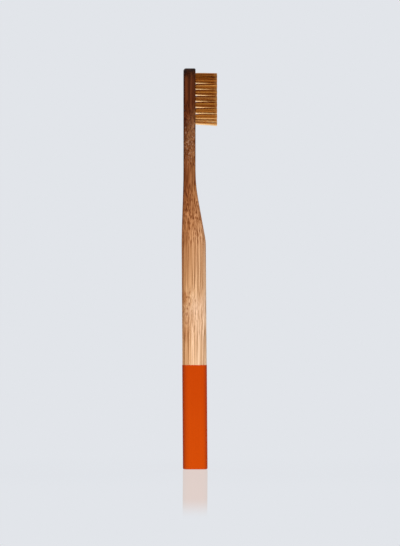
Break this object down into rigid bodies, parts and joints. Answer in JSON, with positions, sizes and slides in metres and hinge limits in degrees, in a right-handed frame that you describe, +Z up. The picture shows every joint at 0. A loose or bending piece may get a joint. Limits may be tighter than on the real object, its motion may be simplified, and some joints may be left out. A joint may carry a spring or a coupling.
{
  "type": "manual toothbrush",
  "caption": "Manual toothbrush: round-edged bamboo handle with a paint-dipped foot, slim neck and flared head that holds flat-trimmed rows of nylon tufts.",
  "frame": {"origin": "middle of the painted foot, on the surface that the brush stands on", "axes": "+Z up the handle to the tip of the head, +X the way the bristles point, Y across the head"},
  "size_m": [0.0168, 0.0128, 0.19],
  "materials": {
    "bamboo": "sanded and oiled, darkened by heat towards the head",
    "orange_paint": "satin dipped paint",
    "nylon_bristle": "translucent golden brown filaments",
    "anchor_metal": "bright flat wire"
  },
  "bodies": {
    "root": {"bamboo_handle": "bamboo", "paint_dip": "orange_paint", "tuft_anchors": "anchor_metal", "tuft_row1_col1": "nylon_bristle", "tuft_row1_col2": "nylon_bristle", "tuft_row1_col3": "nylon_bristle", "tuft_row2_col1": "nylon_bristle", "tuft_row2_col2": "nylon_bristle", "tuft_row2_col3": "nylon_bristle", "tuft_row2_col4": "nylon_bristle", "tuft_row3_col1": "nylon_bristle", "tuft_row3_col2": "nylon_bristle", "tuft_row3_col3": "nylon_bristle", "tuft_row3_col4": "nylon_bristle", "tuft_row4_col1": "nylon_bristle", "tuft_row4_col2": "nylon_bristle", "tuft_row4_col3": "nylon_bristle", "tuft_row4_col4": "nylon_bristle", "tuft_row5_col1": "nylon_bristle", "tuft_row5_col2": "nylon_bristle", "tuft_row5_col3": "nylon_bristle", "tuft_row5_col4": "nylon_bristle", "tuft_row6_col1": "nylon_bristle", "tuft_row6_col2": "nylon_bristle", "tuft_row6_col3": "nylon_bristle", "tuft_row6_col4": "nylon_bristle", "tuft_row7_col1": "nylon_bristle", "tuft_row7_col2": "nylon_bristle", "tuft_row7_col3": "nylon_bristle", "tuft_row7_col4": "nylon_bristle", "tuft_row8_col1": "nylon_bristle", "tuft_row8_col2": "nylon_bristle", "tuft_row8_col3": "nylon_bristle", "tuft_row8_col4": "nylon_bristle", "tuft_row9_col1": "nylon_bristle", "tuft_row9_col2": "nylon_bristle", "tuft_row9_col3": "nylon_bristle"}
  },
  "joints": []
}
